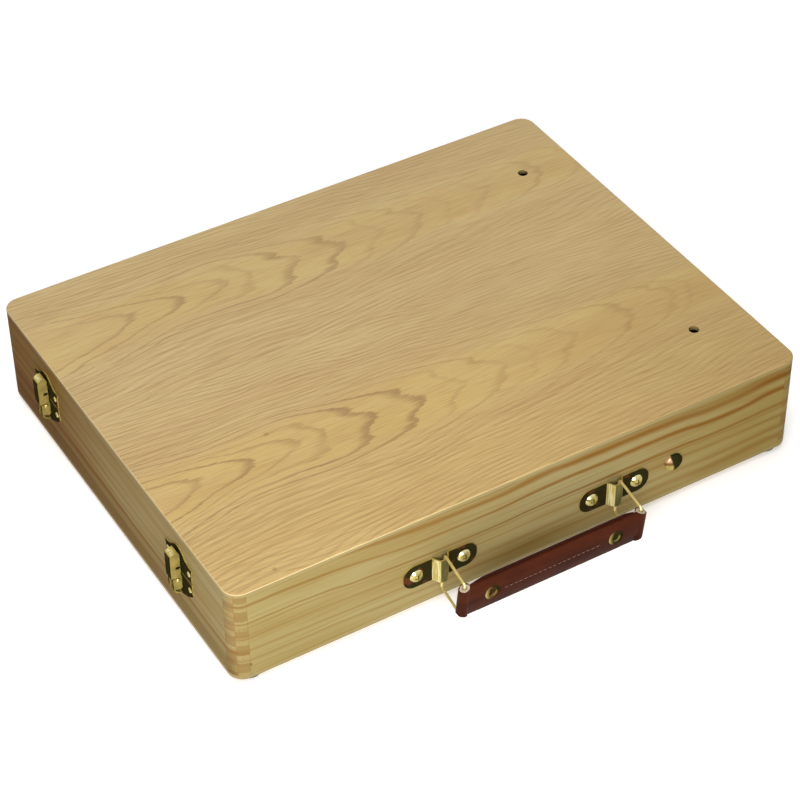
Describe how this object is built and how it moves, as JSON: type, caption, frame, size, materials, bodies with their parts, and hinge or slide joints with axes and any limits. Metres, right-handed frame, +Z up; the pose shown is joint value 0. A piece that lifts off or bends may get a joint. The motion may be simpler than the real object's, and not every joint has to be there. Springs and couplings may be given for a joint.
{
  "type": "pochade box",
  "caption": "Flat hinged wooden sketch box with finger-jointed corners, a side strap handle on wire bails, toggle latches, rubber feet and an inner lid stay.",
  "frame": {"origin": "middle of the box's footprint, on the surface that its feet stand on", "axes": "+X along the long side to the hinged end, with the latches at -X; the handle side faces -Y; +Z up"},
  "size_m": [0.4127, 0.3452, 0.0732],
  "materials": {
    "veneer": "satin varnish",
    "pine": "satin varnish",
    "palette_wood": "oiled",
    "strap": "smooth",
    "strap_core": "raw edge",
    "foot_rubber": "matt",
    "brass": "aged"
  },
  "bodies": {
    "base": {"base_front_rail": "pine", "base_back_rail": "pine", "base_left_rail": "pine", "base_right_rail": "pine", "bottom_panel": "veneer", "rubber_feet": "foot_rubber", "trough_divider": "pine", "cross_dividers": "pine", "base_hinge_screws": "brass", "front_hinge_base_leaf": "brass", "back_hinge_base_leaf": "brass", "front_hinge_pin": "brass", "back_hinge_pin": "brass", "latch_base_nails": "brass", "front_latch_base_plate": "brass", "back_latch_base_plate": "brass", "front_latch_rivets": "brass", "back_latch_rivets": "brass", "bracket_screws": "brass", "left_bracket": "brass", "right_bracket": "brass", "stay_bolt": "brass", "stay_washers": "brass"},
    "lid": {"lid_panel": "veneer", "lid_front_rail": "pine", "lid_back_rail": "pine", "lid_left_rail": "pine", "lid_right_rail": "pine", "lid_hinge_screws": "brass", "front_hinge_lid_leaf": "brass", "back_hinge_lid_leaf": "brass", "latch_catch_nails": "brass", "front_latch_catch": "brass", "back_latch_catch": "brass", "stay_lid_spacer": "brass", "stay_lid_screw": "brass"},
    "palette_body": {"palette": "palette_wood"},
    "front_lever": {"front_latch_lever": "brass", "front_latch_link_pin": "brass"},
    "front_link": {"front_latch_link": "brass"},
    "back_lever": {"back_latch_lever": "brass", "back_latch_link_pin": "brass"},
    "back_link": {"back_latch_link": "brass"},
    "left_bail_body": {"left_bail": "brass"},
    "right_bail_body": {"right_bail": "brass"},
    "grip": {"grip_cover": "strap", "grip_core": "strap_core", "grip_eyelets": "brass"},
    "stay_lower": {"stay_lower_bar": "brass", "stay_elbow_rivet": "brass"},
    "stay_upper": {"stay_upper_bar": "brass"},
    "wing_nut_body": {"wing_nut": "brass"}
  },
  "joints": [
    {"name": "lid_hinge", "type": "hinge", "parent": "base", "child": "lid", "pos_m": [0.20255, 0, 0.0432], "axis": [0, 1, 0], "range_deg": [0, 105]},
    {"name": "stay_lower_turn", "type": "hinge", "parent": "base", "child": "stay_lower", "pos_m": [0.1067, -0.1431, 0.031], "axis": [0, 1, 0], "range_deg": [0, 105]},
    {"name": "stay_upper_turn", "type": "hinge", "parent": "lid", "child": "stay_upper", "pos_m": [0.05255, -0.1416, 0.0552], "axis": [0, 1, 0], "range_deg": [-105, 0]},
    {"name": "wing_nut_turn", "type": "hinge", "parent": "base", "child": "wing_nut_body", "pos_m": [0.1067, -0.1431, 0.031], "axis": [0, 1, 0], "continuous": true},
    {"name": "palette_lift", "type": "slide", "parent": "base", "child": "palette_body", "axis": [0, 0, 1], "range_m": [0, 0.028]},
    {"name": "handle_left_swing", "type": "hinge", "parent": "base", "child": "left_bail_body", "pos_m": [-0.0623, -0.15906, 0.02745], "axis": [0.1045, 0, 0.9945], "range_deg": [-60, 74]},
    {"name": "handle_right_swing", "type": "hinge", "parent": "base", "child": "right_bail_body", "pos_m": [0.0623, -0.15906, 0.02745], "axis": [0.1045, 0, 0.9945], "range_deg": [-60, 74]},
    {"name": "grip_turn", "type": "hinge", "parent": "left_bail_body", "child": "grip", "pos_m": [-0.06564, -0.18645, 0.0278], "axis": [0.1045, 0, 0.9945], "range_deg": [-74, 60]},
    {"name": "front_latch_lever_turn", "type": "hinge", "parent": "base", "child": "front_lever", "pos_m": [-0.2034, -0.0905, 0.0378], "axis": [0, 1, 0], "range_deg": [0, 90]},
    {"name": "front_latch_link_turn", "type": "hinge", "parent": "front_lever", "child": "front_link", "pos_m": [-0.2026, -0.0905, 0.032], "axis": [0, 1, 0], "range_deg": [-99, 0]},
    {"name": "back_latch_lever_turn", "type": "hinge", "parent": "base", "child": "back_lever", "pos_m": [-0.2034, 0.0905, 0.0378], "axis": [0, 1, 0], "range_deg": [0, 90]},
    {"name": "back_latch_link_turn", "type": "hinge", "parent": "back_lever", "child": "back_link", "pos_m": [-0.2026, 0.0905, 0.032], "axis": [0, 1, 0], "range_deg": [-99, 0]}
  ],
  "couplings": [
    {"joint": "stay_lower_turn", "follows": "lid_hinge", "ratio": 1},
    {"joint": "stay_upper_turn", "follows": "lid_hinge", "ratio": -1},
    {"joint": "handle_right_swing", "follows": "handle_left_swing", "ratio": 1},
    {"joint": "grip_turn", "follows": "handle_left_swing", "ratio": -1},
    {"joint": "front_latch_link_turn", "follows": "front_latch_lever_turn", "ratio": -1.1},
    {"joint": "back_latch_link_turn", "follows": "back_latch_lever_turn", "ratio": -1.1}
  ]
}
